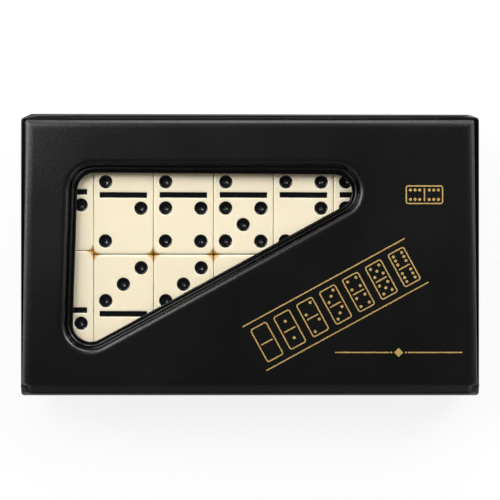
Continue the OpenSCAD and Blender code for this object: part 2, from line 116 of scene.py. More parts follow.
# %% [markdown]
# ## Vinyl leatherette
# The case is covered in PVC-coated fabric, often called leatherette or vinyl. The sheet runs between
# hot rollers that press a fine leather grain into it, and it leaves them with a soft satin sheen. The
# grain is a crowd of small domed cells about 0.4 mm wide. It is too fine to see one by one in a
# picture of the whole case, so its work is to break up highlights. Where a hot welding die has pressed
# the sheet, the grain is gone and the surface is smoother, which makes it look blacker from above. A
# vertex attribute called pressed marks those places. A photograph of vinyl could serve as a texture,
# but patterns on the object's own coordinates have no seams and stay sharp at any distance.

# %% Vinyl leatherette
CELL_DOME = -0.7  # below 0, so that the middle of a cell stands above its border
CREASE_CELLS = 2.2  # width of a crease, in cells of the grain
CLOUD_MM = 24  # width of the slow changes in colour and sheen
SHEEN_SPREAD = 0.04  # how far the roughness strays
PRESSED_ROUGHNESS = 0.15
FREE_GRAIN, PRESSED_GRAIN = 0.35, 0.05  # strength of the grain


def leatherette(name, colour, roughness, grain_mm, depth):
    """Satin vinyl: the grain's height is fine noise less the distances of a Voronoi pattern, and slow
    noise changes colour and roughness. Grain and sheen fade where the sheet is pressed."""
    material, tree, output = new_material(name)
    place = add_node(tree, "ShaderNodeTexCoord").outputs["Object"]
    cells = add_node(tree, "ShaderNodeTexVoronoi",
                     {"Vector": place, "Scale": per_mm(grain_mm), "Randomness": 0.9},
                     feature="SMOOTH_F1")
    creases = add_node(tree, "ShaderNodeTexNoise",
                       {"Vector": place, "Scale": per_mm(grain_mm * CREASE_CELLS), "Detail": 3.0})
    slow = add_node(tree, "ShaderNodeTexNoise",
                    {"Vector": place, "Scale": per_mm(CLOUD_MM), "Detail": 2.0})
    height = add_node(tree, "ShaderNodeMath",
                      {0: cells.outputs["Distance"], 1: CELL_DOME, 2: creases.outputs["Fac"]},
                      operation="MULTIPLY_ADD")
    pressed = add_node(tree, "ShaderNodeAttribute", attribute_name="pressed").outputs["Fac"]
    grain = add_node(tree, "ShaderNodeMix", {"Factor": pressed, 2: FREE_GRAIN, 3: PRESSED_GRAIN})
    bump = add_node(tree, "ShaderNodeBump",
                    {"Height": height.outputs[0], "Strength": grain.outputs[0], "Distance": depth * MM})
    tint = add_node(tree, "ShaderNodeMix",
                    {"Factor": slow.outputs["Fac"], 6: linear(colour[0]), 7: linear(colour[1])},
                    data_type="RGBA")
    sheen = add_node(tree, "ShaderNodeMapRange",
                     {"Value": slow.outputs["Fac"], "To Min": roughness - SHEEN_SPREAD,
                      "To Max": roughness + SHEEN_SPREAD})
    smooth = add_node(tree, "ShaderNodeMix",
                      {"Factor": pressed, 2: sheen.outputs[0], 3: PRESSED_ROUGHNESS})
    shader = add_node(tree, "ShaderNodeBsdfPrincipled",
                      {"Base Color": tint.outputs[2], "Roughness": smooth.outputs[0],
                       "Normal": bump.outputs[0], "IOR": 1.5})
    tree.links.new(shader.outputs[0], output.inputs["Surface"])
    return material


vinyl = leatherette("vinyl_leatherette", ("#070707", "#0c0c0b"), 0.325, 0.42, 0.10)
lining = leatherette("vinyl_lining", ("#0e0e0e", "#141414"), 0.62, 0.6, 0.06)
print("vinyl:", vinyl.name, lining.name)

# %% [markdown]
# ## Ivory plastic
# Dominoes of this kind are pressed from melamine or urea resin, coloured all through like old ivory.
# Tumbling with polish rounds their edges and leaves a soft gloss. The pips and the bar are drilled or
# milled into the face and filled with black enamel paint, which a vertex attribute called ink marks.
# Another attribute, edge, marks sides and corners; they get painted shade, a darker gold for the gaps.
# The resin lets a little light in, red deeper than blue, so the narrow gaps between tiles glow golden.
# Paint and resin could be two materials on separate faces, but with an attribute one mesh has both.

# %% Ivory plastic with black pips
RESIN_CLOUD_MM, SCUFF_MM = 14, 0.7  # width of the resin's clouds and of the scuffs in its polish
RESIN_ROUGHNESS, PAINT_ROUGHNESS = 0.34, 0.24
LIGHT_REACH = 2.5  # how deep red light goes into the resin, in mm
ivory, tree, output = new_material("ivory_melamine")
place = add_node(tree, "ShaderNodeTexCoord").outputs["Object"]
ink = add_node(tree, "ShaderNodeAttribute", attribute_name="ink").outputs["Fac"]
cloud = add_node(tree, "ShaderNodeTexNoise",
                 {"Vector": place, "Scale": per_mm(RESIN_CLOUD_MM), "Detail": 2.0})
cream = add_node(tree, "ShaderNodeMix",
                 {"Factor": cloud.outputs["Fac"], 6: linear("#ede2c9"), 7: linear("#e8dcbf")},
                 data_type="RGBA")
# Painted shade: where the edge attribute is set, the cream turns a darker gold, for the light in the
# gaps
edge = add_node(tree, "ShaderNodeAttribute", attribute_name="edge").outputs["Fac"]
gap_shaded_cream = add_node(tree, "ShaderNodeMix",
                {"Factor": edge, 6: cream.outputs[2], 7: linear("#b08228")}, data_type="RGBA")
paint = add_node(tree, "ShaderNodeMix",
                 {"Factor": ink, 6: gap_shaded_cream.outputs[2], 7: linear("#0b0b0c")}, data_type="RGBA")
polish = add_node(tree, "ShaderNodeMix", {"Factor": ink, 2: RESIN_ROUGHNESS, 3: PAINT_ROUGHNESS})
scuffs = add_node(tree, "ShaderNodeTexNoise",
                  {"Vector": place, "Scale": per_mm(SCUFF_MM), "Detail": 4.0})
bump = add_node(tree, "ShaderNodeBump",
                {"Height": scuffs.outputs["Fac"], "Strength": 0.12, "Distance": 0.03 * MM})
shader = add_node(tree, "ShaderNodeBsdfPrincipled",
                  {"Base Color": paint.outputs[2], "Roughness": polish.outputs[0],
                   "Normal": bump.outputs[0], "IOR": 1.55, "Subsurface Weight": 0.3,
                   "Subsurface Radius": (1.0, 0.7, 0.4), "Subsurface Scale": LIGHT_REACH * MM})
tree.links.new(shader.outputs[0], output.inputs["Surface"])
print("ivory:", ivory.name)

# %% [markdown]
# ## Film, board, foam and metal
# The window is clear PVC film: almost invisible, so its alpha is close to none. Greyboard is pressed
# waste paper, and its fibres and specks show on a cut edge. The foam sheet is open-celled. The press
# studs are stamped brass, nickel plated inside and enamelled black on the caps. Gold foil is a metal
# film, pressed on hot: the vinyl's grain under it makes it dull, so it shines a little from all sides.
# Glass-like transmission would suit the film too, but a low alpha is quicker and hides nothing.

# %% Film
RIPPLE_MM = 30  # width of the film's slow ripples
film, tree, output = new_material("clear_film")
place = add_node(tree, "ShaderNodeTexCoord").outputs["Object"]
ripple = add_node(tree, "ShaderNodeTexNoise",
                  {"Vector": place, "Scale": per_mm(RIPPLE_MM), "Detail": 1.0})
bump = add_node(tree, "ShaderNodeBump",
                {"Height": ripple.outputs["Fac"], "Strength": 0.2, "Distance": 0.6 * MM})
shader = add_node(tree, "ShaderNodeBsdfPrincipled",
                  {"Base Color": linear("#1c2022"), "Roughness": 0.08, "Normal": bump.outputs[0],
                   "IOR": 1.5, "Alpha": 0.03})
tree.links.new(shader.outputs[0], output.inputs["Surface"])
print("film:", film.name)

# %% Board and foam


def speckled(name, colours, roughness, speck_mm, depth):
    """Dull fibrous stuff: fine noise mixes two colours and gives the bump."""
    material, tree, output = new_material(name)
    place = add_node(tree, "ShaderNodeTexCoord").outputs["Object"]
    speck = add_node(tree, "ShaderNodeTexNoise",
                     {"Vector": place, "Scale": per_mm(speck_mm), "Detail": 5.0, "Roughness": 0.7})
    tint = add_node(tree, "ShaderNodeMix",
                    {"Factor": speck.outputs["Fac"], 6: linear(colours[0]), 7: linear(colours[1])},
                    data_type="RGBA")
    bump = add_node(tree, "ShaderNodeBump",
                    {"Height": speck.outputs["Fac"], "Strength": 0.5, "Distance": depth * MM})
    shader = add_node(tree, "ShaderNodeBsdfPrincipled",
                      {"Base Color": tint.outputs[2], "Roughness": roughness,
                       "Normal": bump.outputs[0]})
    tree.links.new(shader.outputs[0], output.inputs["Surface"])
    return material


greyboard = speckled("greyboard", ("#6f675b", "#958c7e"), 0.9, 0.8, 0.15)
foam = speckled("foam_sheet", ("#d9d4c6", "#eeeadd"), 0.95, 0.5, 0.3)
print("board and foam:", greyboard.name, foam.name)

# %% Metal
WEAR_MM, WEAR_SHARE = 1.5, 0.3  # width of the worn spots, and how far they change the roughness


def stamped(name, colour, roughness, metallic):
    """Stamped metal: tiny noise in the roughness, and a fainter one as bump."""
    material, tree, output = new_material(name)
    place = add_node(tree, "ShaderNodeTexCoord").outputs["Object"]
    wear = add_node(tree, "ShaderNodeTexNoise",
                    {"Vector": place, "Scale": per_mm(WEAR_MM), "Detail": 4.0})
    rough = add_node(tree, "ShaderNodeMapRange",
                     {"Value": wear.outputs["Fac"], "To Min": roughness * (1 - WEAR_SHARE),
                      "To Max": roughness * (1 + WEAR_SHARE)})
    bump = add_node(tree, "ShaderNodeBump",
                    {"Height": wear.outputs["Fac"], "Strength": 0.1, "Distance": 0.02 * MM})
    shader = add_node(tree, "ShaderNodeBsdfPrincipled",
                      {"Base Color": linear(colour), "Roughness": rough.outputs[0],
                       "Metallic": metallic, "Normal": bump.outputs[0]})
    tree.links.new(shader.outputs[0], output.inputs["Surface"])
    return material


nickel = stamped("nickel_plate", "#c9c5bd", 0.25, 1.0)
cap_enamel = stamped("black_enamel", "#0d0d0e", 0.22, 0.0)
gold_foil = stamped("hot_stamped_foil", "#cfae6a", 0.5, 0.6)
print("materials:", len(bpy.data.materials))

# %% [markdown]
# ## Meshes from arrays
# A surface is a grid of points: loops of the same number of points, one after another. The faces
# between them follow from the grid's size alone. Doubles are merged, so that loops which close to a
# corner or a point leave no empty faces, and then the faces are turned outwards. Extruding and
# bevelling by hand could give such forms too, but a formula can be measured and changed.

# %% Grids and pieces
JOIN = 1e-3  # points closer than this, in mm, become one
APART = 0.02  # keeps two sheets from lying in one plane


def grid_faces(rows, columns, close_rows=False):
    """Quads between the rows of a grid whose rows are closed loops; close_rows joins last and first."""
    row = np.arange(rows if close_rows else rows - 1)[:, None]
    column = np.arange(columns)[None]
    after, beside = (row + 1) % rows, (column + 1) % columns
    corners = [row * columns + column, row * columns + beside,
               after * columns + beside, after * columns + column]
    return np.stack(corners, -1).reshape(-1, 4)


def capped_faces(rows, columns, both=True):
    """Quads of a grid, with one flat face over its last row, and over its first row too if both."""
    caps = [np.arange(columns)] if both else []
    return [*grid_faces(rows, columns), *caps, np.arange(columns) + (rows - 1) * columns]


def make_piece(name, points, faces, material, body, marks=None, smooth=True):
    """Closed mesh from points in millimetres; marks holds vertex attributes by name."""
    mesh = bpy.data.meshes.new(name)
    mesh.from_pydata(np.asarray(points, float) * MM, [], [list(map(int, f)) for f in faces])
    for mark, values in (marks or {}).items():
        mesh.attributes.new(mark, "FLOAT", "POINT").data.foreach_set(
            "value", np.asarray(values, np.float32))
    shape = bmesh.new()
    shape.from_mesh(mesh)
    bmesh.ops.remove_doubles(shape, verts=shape.verts, dist=JOIN * MM)
    bmesh.ops.dissolve_degenerate(shape, edges=shape.edges, dist=JOIN * MM)
    bmesh.ops.recalc_face_normals(shape, faces=shape.faces)
    open_edges = sum(not e.is_manifold for e in shape.edges)
    shape.to_mesh(mesh)
    shape.free()
    if smooth:
        mesh.shade_smooth()
    mesh.materials.append(material)
    piece = bpy.data.objects.new(name, mesh)
    bpy.context.scene.collection.objects.link(piece)
    if body is not None:
        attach(piece, body)
    print(f"{name}: {len(mesh.vertices)} points, {len(mesh.polygons)} faces, open edges {open_edges}")
    return piece


print("points join below", JOIN, "mm")

# %% [markdown]
# ## Loops with round corners
# Padded panels, flanges and the window's edge all have the same kind of outline: a polygon with round
# corners. One function gives such a loop, moved in or out, always with the same number of points, so
# that a stack of loops is already a surface. The Bevel modifier can round a flat outline as well, but
# its points don't match from one loop to the next.

# %% Loops with round corners


def round_loop(corners, inset, radius, arc_steps, side_steps):
    """Loop inside a convex polygon, counterclockwise: each side moves in by inset, and each corner
    becomes an arc that touches both its sides, its centre inset + radius inside them."""
    corners = np.asarray(corners, float)
    side = np.roll(corners, -1, 0) - corners
    side /= np.linalg.norm(side, axis=1)[:, None]
    normal = np.stack([side[:, 1], -side[:, 0]], 1)
    before = np.roll(normal, 1, 0)
    reach = (inset + radius) / (1 + (before * normal).sum(1))
    centre = corners - (before + normal) * reach[:, None]
    first = np.arctan2(before[:, 1], before[:, 0])
    turn = (np.arctan2(normal[:, 1], normal[:, 0]) - first) % (2 * np.pi)
    angle = first[:, None] + turn[:, None] * np.linspace(0, 1, arc_steps + 1)
    arc = centre[:, None] + radius * np.stack([np.cos(angle), np.sin(angle)], -1)
    share = (np.arange(1, side_steps) / side_steps)[:, None]
    run = arc[:, -1:] + share * (np.roll(arc[:, 0], -1, 0) - arc[:, -1])[:, None]
    return np.concatenate([arc, run], 1).reshape(-1, 2)


def with_z(loop, z):
    """A flat loop as points in space at height z, which may be one number or one per point."""
    return np.column_stack([loop, np.broadcast_to(z, len(loop))])


def turned(points, degrees):
    """Points turned about the upright axis."""
    c, s = np.cos(np.radians(degrees)), np.sin(np.radians(degrees))
    return points @ np.array([[c, s, 0], [-s, c, 0], [0, 0, 1]])


print("a square's loop:", round_loop([(0, 0), (1, 0), (1, 1), (0, 1)], 0.1, 0.2, 4, 4).shape)

# %% [markdown]
# ## The lid's vinyl
# The lid is one sheet of vinyl, drawn over thin foam and board and welded along its rim by a heated
# tool. The tool leaves three forms: a rolled edge all round the pad, a second rolled edge that drops
# to the window, and a thin welded bead on the lip inside it. The section from the window to the rim
# is carried round both outlines. Near the window it follows the window's loop, near the rim the pad's,
# and the flat face between them is a straight blend along rays from a point inside the window. A cloth
# simulation could drape the sheet, but a welded sheet lies tight, so its section says all there is.

# %% Sizes of the lid
lid_low, lid_high = box_mm("lid_cover")
film_low, film_high = box_mm("window_film")
SHEET = 0.5  # thickness of the vinyl
ROLL, SHOULDER = 1.8, 2.9  # height and width of the pad's soft edge
LIP = 2.4  # flat lip inside the window's edge
WINDOW_ROLL, WINDOW_SHOULDER = 1.9, 2.1  # height and width of the window's soft edge
FRONT_SHARE = 0.25  # width of the front edge, as a share: there the sheet runs on into the fold
WINDOW_R = 6.0  # corner radius of the window's cut edge
FILM_MARGIN = 1.6  # how far the film reaches under the lip
WINDOW_LEAN = 1.5  # how far the window's left side leans in towards the back
LEFT_FLANGE, RIGHT_FLANGE = (0.48, 1.74), (0.67, 1.7)  # width of the flange at the front and back
BACK_FLANGE = 0.9
PAD_R, MITRE_R = 1.0, 0.12  # corner radius at the pad's foot, and of a corner that is all but mitred
OVERHANG = 0.12  # how far the flange's soft edge stands past the frame's sharp one
reach = WINDOW_R + FILM_MARGIN
WINDOW = [
    (film_low[0] + reach, film_low[1] + reach),
    (film_high[0] - reach, film_high[1] - reach),
    (film_low[0] + reach + WINDOW_LEAN, film_high[1] - reach),
]
PAD = [
    (lid_low[0] + LEFT_FLANGE[0], lid_low[1]), (lid_high[0] - RIGHT_FLANGE[0], lid_low[1]),
    (lid_high[0] - RIGHT_FLANGE[1], lid_high[1] - BACK_FLANGE),
    (lid_low[0] + LEFT_FLANGE[1], lid_high[1] - BACK_FLANGE),
]
left, right = lid_low[0] - OVERHANG, lid_high[0] + OVERHANG
FLANGE = [(left, lid_low[1]), (right, lid_low[1]), (right, lid_high[1]), (left, lid_high[1])]
CUT_SLOPE = np.array([(0, 0), (0, -0.65), (0, 0)])  # how each corner of the cut edge strays
HUB = np.array([-24.0, 8.0])  # a point inside the window, from which rays are drawn
TOP = lid_high[2]
print("lid in mm:", lid_low.round(2), lid_high.round(2))

# %% Rays that match the window's loop to the rim's


def window_loop(outset):
    """The window's outline, moved outwards from its cut edge, whose slope fades out across the lip."""
    stray = CUT_SLOPE * max(0.0, 1 - outset / LIP)
    return round_loop(WINDOW + stray, -(WINDOW_R + outset), WINDOW_R + outset, 14, 32)


def pad_loop(inset, corners=PAD):
    """The pad's outline, moved inwards, but less at the front; its corners grow sharper until they
    are mitred."""
    corners = np.array(corners, float)
    corners[:2, 1] -= (1 - FRONT_SHARE) * inset
    return round_loop(corners, inset, max(PAD_R - inset, MITRE_R), 8, 44)


def angles_of(loop):
    """Angle of each point of a loop as seen from HUB."""
    return np.arctan2(*(loop - HUB).T[::-1])


def crossings(loop, angles):
    """Fractional point numbers at which rays from HUB cross a loop that runs once round it."""
    own = np.unwrap(angles_of(loop))
    own = np.append(own, own[0] + 2 * np.pi)
    return np.interp(own[0] + (angles - own[0]) % (2 * np.pi), own, np.arange(len(own)))


def at(loop, numbers):
    """Points of a closed loop at fractional point numbers."""
    low = np.floor(numbers).astype(int)
    share = (numbers - low)[:, None]
    return loop[low % len(loop)] * (1 - share) + loop[(low + 1) % len(loop)] * share


window_rim = window_loop(LIP + WINDOW_SHOULDER)
pad_rim = pad_loop(SHOULDER)
rays = np.unique((np.concatenate([angles_of(window_rim), angles_of(pad_rim)]) % (2 * np.pi)).round(5))
window_numbers = crossings(window_rim, rays)
pad_numbers = crossings(pad_rim, rays)
print("rays:", len(rays))

# %% Rings of the lid's vinyl
quarter = np.radians(np.linspace(0, 90, 15))
PUFF = 0.035  # height of the padding's long waves


def puff(points):
    """Slow unevenness of the padded face: a sum of long sine waves, a few hundredths of a mm high."""
    x, y = points[:, 0], points[:, 1]
    return PUFF * (np.sin(x / 11 + 0.6) * np.cos(y / 9 - 0.4) + 0.6 * np.sin(x / 5.3 - y / 7.1))


def soft_edge(width):
    """Distances from the foot of a soft edge: a quarter ellipse, whose upper part is stretched."""
    return width * (1 - np.cos(quarter)) ** 1.3


def window_ring(outset, z, lift=0.0):
    """Ring of the lid's grid that follows the window's outline."""
    points = at(window_loop(outset), window_numbers)
    return with_z(points, z + lift * puff(points))


def pad_ring(inset, z, lift=0.0, corners=PAD):
    """Ring of the lid's grid that follows the pad's or the flange's outline."""
    points = at(pad_loop(inset, corners), pad_numbers)
    return with_z(points, z + lift * puff(points))


def flange_ring(share, z):
    """Ring of the flat flange, between the pad's foot, share 0, and the flange's edge, share 1."""
    foot, edge = at(pad_loop(0.0), pad_numbers), at(pad_loop(0.08, FLANGE), pad_numbers)
    return with_z(foot + (edge - foot) * share, z)


def face_rings(z, count):
    """Rings across the flat face, from the window's roll to the pad's: straight blends along rays."""
    a, b = at(window_rim, window_numbers), at(pad_rim, pad_numbers)
    return [with_z(p, z + puff(p)) for p in
            (a + (b - a) * t for t in np.linspace(0, 1, count + 2)[1:-1])]


print("steps round a soft edge:", soft_edge(SHOULDER).round(2))

# %% Lip, bead and padded face
half = np.radians(np.linspace(180, 0, 9))
LIP_Z = lid_low[2] + 0.75  # top of the lip, above lining and film
UNDER_LIP = lid_low[2] + 0.27  # underside of the lip
CUT_EDGE = 0.12  # how far the cut edge is softened
BEAD_AT, BEAD_R, BEAD_H = 1.48, 0.38, 0.46  # place, half width and height of the welded bead
BEAD_IN, BEAD_OUT = BEAD_AT - BEAD_R - 0.1, BEAD_AT + BEAD_R + 0.1  # flat rings on its two sides
lip = [window_ring(0.0, UNDER_LIP + 0.1), window_ring(APART, LIP_Z - CUT_EDGE)]
lip += [window_ring(outset, LIP_Z) for outset in (CUT_EDGE, 2 * CUT_EDGE, BEAD_IN)]
lip += [window_ring(BEAD_AT + BEAD_R * np.cos(t), LIP_Z + BEAD_H * np.sin(t)) for t in half]
lip += [window_ring(BEAD_OUT, LIP_Z), window_ring(LIP - 0.05, LIP_Z + APART)]
upper = [window_ring(LIP + run, TOP - WINDOW_ROLL * (1 - np.sin(t)), np.sin(t))
         for run, t in zip(soft_edge(WINDOW_SHOULDER), quarter)]
upper += face_rings(TOP, 22)
upper += [pad_ring(run, TOP - ROLL * (1 - np.sin(t)), np.sin(t))
          for run, t in zip(soft_edge(SHOULDER)[::-1], quarter[::-1])]
print("rings over the face:", len(lip), "on the lip,", len(upper), "from there to the pad's foot")

# %% Flange and underside, and the finished sheet
flange_z = lid_low[2] + SHEET
FLANGE_STEPS = [(0.1, 0.0), (0.25, 0.0), (0.85, 0.0), (1.0, -APART)]  # share of its width, and rise
flange = [pad_ring(0.0, flange_z + 0.12)]
flange += [flange_ring(share, flange_z + rise) for share, rise in FLANGE_STEPS]
flange += [pad_ring(0.0, z, corners=FLANGE) for z in (flange_z - 0.1, lid_low[2] + 0.05)]
under = [pad_ring(0.05, lid_low[2], corners=FLANGE), pad_ring(SHEET, lid_low[2] + APART)]
inner_r = ROLL - SHEET  # radius of the pad's roll on the sheet's inner side
under += [pad_ring(ROLL - inner_r * np.cos(t), TOP - ROLL + inner_r * np.sin(t), np.sin(t))
          for t in quarter[::3]]
under += face_rings(TOP - SHEET, 6)[::-1]
inner_r = WINDOW_ROLL - SHEET
under += [window_ring(LIP + WINDOW_ROLL - inner_r * np.cos(t), TOP - WINDOW_ROLL + inner_r * np.sin(t),
                      np.sin(t)) for t in quarter[::-3]]
under += [window_ring(LIP + SHEET, UNDER_LIP), window_ring(0.08, UNDER_LIP)]
rings = lip + upper + flange + under
BEAD_PRESSED = 0.3  # the bead is less smooth than the lip beside it
on_lip = [1] * 5 + [BEAD_PRESSED] * len(half) + [1] * 2
pressed = np.repeat(on_lip + [0] * len(upper) + [1] * len(flange) + [0] * len(under), len(rays))
lid_vinyl = make_piece("lid_vinyl", np.concatenate(rings),
                       grid_faces(len(rings), len(rays), close_rows=True),
                       vinyl, "lid", {"pressed": pressed})
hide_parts("lid_cover")

# %% [markdown]
# ## Foil ornament
# A case like this is finished with a print in gold foil. A heated die presses the film on, so it lies
# in the face of the vinyl as a layer thinner than paper. This one shows the seven doubles of the set
# between two rules along the window's slant, with a small lying double and a lozenge at the right.
# An image could be printed on instead, but outlines stay sharp and need no picture file. Each form is
# an outline, with or without a smaller one inside it, raised by a few hundredths of a mm.

# %% Sizes of the ornament
FOIL = 0.03  # how far the foil stands above the vinyl, and how far its edge reaches into it
DOUBLE_X, DOUBLE_PITCH = 3.1, 8.6  # half width of a small double, and the step along the row
FRAME_LINE = 0.42  # width of a double's outline
DOT_R, DOT_X, DOT_Y = 0.5, 1.55, 1.5  # radius of a pip, and its distance from a half's middle
RULE_Y, RULE_R = 0.2, 0.18  # half width of a rule, and the radius of its ends
ROW_AT, LYING_AT, LOZENGE_AT = (28.2, -16.0), (57.5, 20.2), (49.0, -31.8)
SLANT = np.degrees(np.arctan2(*(np.array(WINDOW[1]) - WINDOW[0])[::-1]))
print("slant of the window in degrees:", round(SLANT, 2))

# %% Forms of foil


def raised(outer, inner=None):
    """Points and faces of a thin form with this outline, and a hole inside it if there is one. The
    outline goes from below the face to above it, and the hole's goes back down."""
    flat = [outer, outer] + ([inner, inner] if inner is not None else [])
    heights = [-FOIL, FOIL, FOIL, -FOIL]
    points = np.concatenate([with_z(loop, h) for loop, h in zip(flat, heights)])
    n = len(outer)
    if inner is None:
        return points, capped_faces(2, n)
    return points, list(grid_faces(4, n, close_rows=True))


def bar(x, y, half_x, half_y, radius, line=None):
    """Rounded rectangle around x, y; with a line width it is only a frame."""
    corners = [(x - half_x, y - half_y), (x + half_x, y - half_y), (x + half_x, y + half_y),
               (x - half_x, y + half_y)]
    inner = None if line is None else round_loop(corners, line, max(radius - line, 0.05), 5, 6)
    return raised(round_loop(corners, 0.0, radius, 5, 6), inner)


def dot(x, y, radius, sides=16):
    """Disc around x, y; with four sides it is a lozenge."""
    t = np.linspace(0, 2 * np.pi, sides, endpoint=False)
    return raised(np.c_[x + radius * np.cos(t), y + radius * np.sin(t)])


def pips_of(count):
    """Places, from -1 to 1, of the pips on one half of a domino."""
    found = [(0, 0)] if count % 2 else []
    found += [(-1, -1), (1, 1)] if count >= 2 else []
    found += [(-1, 1), (1, -1)] if count >= 4 else []
    return found + ([(-1, 0), (1, 0)] if count == 6 else [])


def small_double(x, count):
    """Forms of an upright double at x: a frame, a bar and the pips of both halves."""
    forms = [bar(x, 0, DOUBLE_X, 2 * DOUBLE_X, 0.9, FRAME_LINE), bar(x, 0, DOUBLE_X - 1.0, 0.22, 0.2)]
    return forms + [dot(x + DOT_X * a, side * DOUBLE_X + DOT_Y * b, DOT_R)
                    for side in (-1, 1) for a, b in pips_of(count)]


def rule(x, y, half_length):
    """Thin straight line around x, y, with all but round ends."""
    return bar(x, y, half_length, RULE_Y, RULE_R)


def placed(forms, centre, degrees):
    """Forms turned about the upright axis and moved to a place on the lid's face."""
    return [(turned(points, degrees) + (*centre, 0), faces) for points, faces in forms]


print("pips on one half of a six:", pips_of(6))

# %% Ornament on the lid
row = [form for count in range(7) for form in small_double(DOUBLE_PITCH * (count - 3), count)]
row += [rule(0, side * 8.2, 30.5) for side in (-1, 1)]
lozenge = [rule(side * 12, 0, 9.0) for side in (-1, 1)]
lozenge += [dot(0, 0, 1.5, 4), dot(-2.4, 0, 0.4, 4), dot(2.4, 0, 0.4, 4)]
forms = placed(row, ROW_AT, SLANT) + placed(small_double(0, 6), LYING_AT, 90)
forms += placed(lozenge, LOZENGE_AT, 0)
starts = np.cumsum([0] + [len(points) for points, _ in forms])
points = np.concatenate([points for points, _ in forms])
points[:, 2] += TOP + puff(points)
faces = [np.asarray(face) + start for (_, some), start in zip(forms, starts) for face in some]
make_piece("foil_ornament", points, faces, gold_foil, "lid", smooth=False)

# %% [markdown]
# ## The dominoes
# Each domino is a rounded slab. Its face is divided into eighteen cells and one strip for the bar. A
# cell that has a pip is a set of rings that pass from the cell's outline to the round hole and down
# into it, to the small pit that the drill's tip leaves. An empty cell is one flat face. A Boolean
# modifier could drill the holes, but it leaves long thin faces that spoil the smooth shading.

# %% Sizes of a domino
CELL_X, CELL_Y = 2.95, 2.75  # half sizes of a cell
PIP_R = 2.28
BAR_X, BAR_Y, BAR_DEPTH = 7.95, 0.95, 0.4  # half sizes and depth of the bar
EDGE_R = 0.6  # rounding of the edges round the face and the back
TOP_CORNER, SIDE_CORNER = 2.0, 0.6  # tumbling wears the corners of the face most
BACK_MARGIN, BACK_CORNER = 0.3, 1.6  # the flat back starts that far inside the rounded edge
END_FIT = 0.06  # how much closer the ends of two dominoes stand than in the frame
CELL_STEPS, STRIP_STEPS = 6, 4  # steps along one side of a cell, and along the strip's short side
print("margin beside the cells in mm:", [round(10 - 3 * CELL_X, 2), round(20 - 6 * CELL_Y, 2)])

# %% Cells with and without pips


def square_ring():
    """Points round the square from -1 to 1, counterclockwise from its lower left corner."""
    t = np.linspace(-1, 1, CELL_STEPS + 1)[:-1]
    one = np.ones_like(t)
    return np.concatenate([np.c_[t, -one], np.c_[one, t], np.c_[-t, one], np.c_[-one, -t]])


SQUARE = square_ring() * (CELL_X, CELL_Y)
CIRCLE = SQUARE / np.linalg.norm(SQUARE, axis=1)[:, None]
# Radius, depth and ink of the rings of a pip, from the flat face to the pit in its middle
PIP_RINGS = [(PIP_R + 0.2, 0, 0), (PIP_R + 0.05, 0.005, 0), (PIP_R, 0.05, 0), (PIP_R - 0.04, 0.12, 1),
             (PIP_R - 0.1, 0.36, 1), (PIP_R - 0.25, 0.5, 1), (1.6, 0.54, 1), (1.05, 0.55, 1),
             (0.8, 0.58, 1), (0.45, 0.74, 1), (0.02, 0.92, 1)]


def pip_cell(x, y, top):
    """Points, faces and ink of a cell with a pip, around x, y."""
    n = len(SQUARE)
    loops = [with_z(SQUARE, top)] + [with_z(CIRCLE * r, top - depth) for r, depth, _ in PIP_RINGS]
    points = np.concatenate(loops) + (x, y, 0)
    ink = np.repeat([0] + [ring[2] for ring in PIP_RINGS], n)
    return points, capped_faces(len(loops), n, both=False), ink


def plain_cell(x, y, top):
    """Points, faces and ink of an empty cell around x, y."""
    return with_z(SQUARE + (x, y), top), [np.arange(len(SQUARE))], np.zeros(len(SQUARE))


print("points round a cell:", len(SQUARE), "rings in a pip:", len(PIP_RINGS))

# %% Strip with the bar
# How far inside the bar's outline each ring lies, its depth and its ink
BAR_RINGS = [(-0.15, 0, 0), (0, 0.05, 0), (0.03, 0.1, 1), (0.1, BAR_DEPTH - 0.08, 1),
             (0.2, BAR_DEPTH, 1), (0.4, BAR_DEPTH, 1)]


def strip_ring(half_x, half_y):
    """Points round a long rectangle, with as many along its sides as the cells beside it have."""
    t = np.linspace(-1, 1, 3 * CELL_STEPS + 1)[:-1]
    s = np.linspace(-1, 1, STRIP_STEPS + 1)[:-1]
    return np.concatenate([
        np.c_[t * half_x, -half_y + 0 * t], np.c_[half_x + 0 * s, s * half_y],
        np.c_[-t * half_x, half_y + 0 * t], np.c_[-half_x + 0 * s, -s * half_y],
    ])


def bar_strip(half_strip, top):
    """Points, faces and ink of the strip with the sunk bar."""
    loops = [with_z(strip_ring(3 * CELL_X, half_strip), top)]
    loops += [with_z(strip_ring(BAR_X - inset, BAR_Y - inset), top - depth)
              for inset, depth, _ in BAR_RINGS]
    n = len(loops[0])
    ink = np.repeat([0] + [ring[2] for ring in BAR_RINGS], n)
    return np.concatenate(loops), capped_faces(len(loops), n, both=False), ink


print("points round the strip:", len(strip_ring(1, 1)), "rings in a bar:", len(BAR_RINGS))

# %% The slab's rounded body
CORNER_STEPS = 5


def slab_ring(half_x, half_y, radius, side_y):
    """Points round a rounded rectangle; side_y holds the places of the cells along the long sides,
    from -1 to 1."""
    t = np.linspace(-1, 1, 3 * CELL_STEPS + 1)
    a, b = half_x - radius, half_y - radius
    arc = np.radians(np.linspace(0, 90, CORNER_STEPS + 1)[1:-1])
    c, s = radius * np.cos(arc), radius * np.sin(arc)
    return np.concatenate([
        np.c_[t * a, -half_y + 0 * t], np.c_[a + s, -b - c],
        np.c_[half_x + 0 * side_y, side_y * b], np.c_[a + c, b + s],
        np.c_[-t * a, half_y + 0 * t], np.c_[-a - s, b + c],
        np.c_[-half_x + 0 * side_y, -side_y * b], np.c_[-a - c, -b - s],
    ])


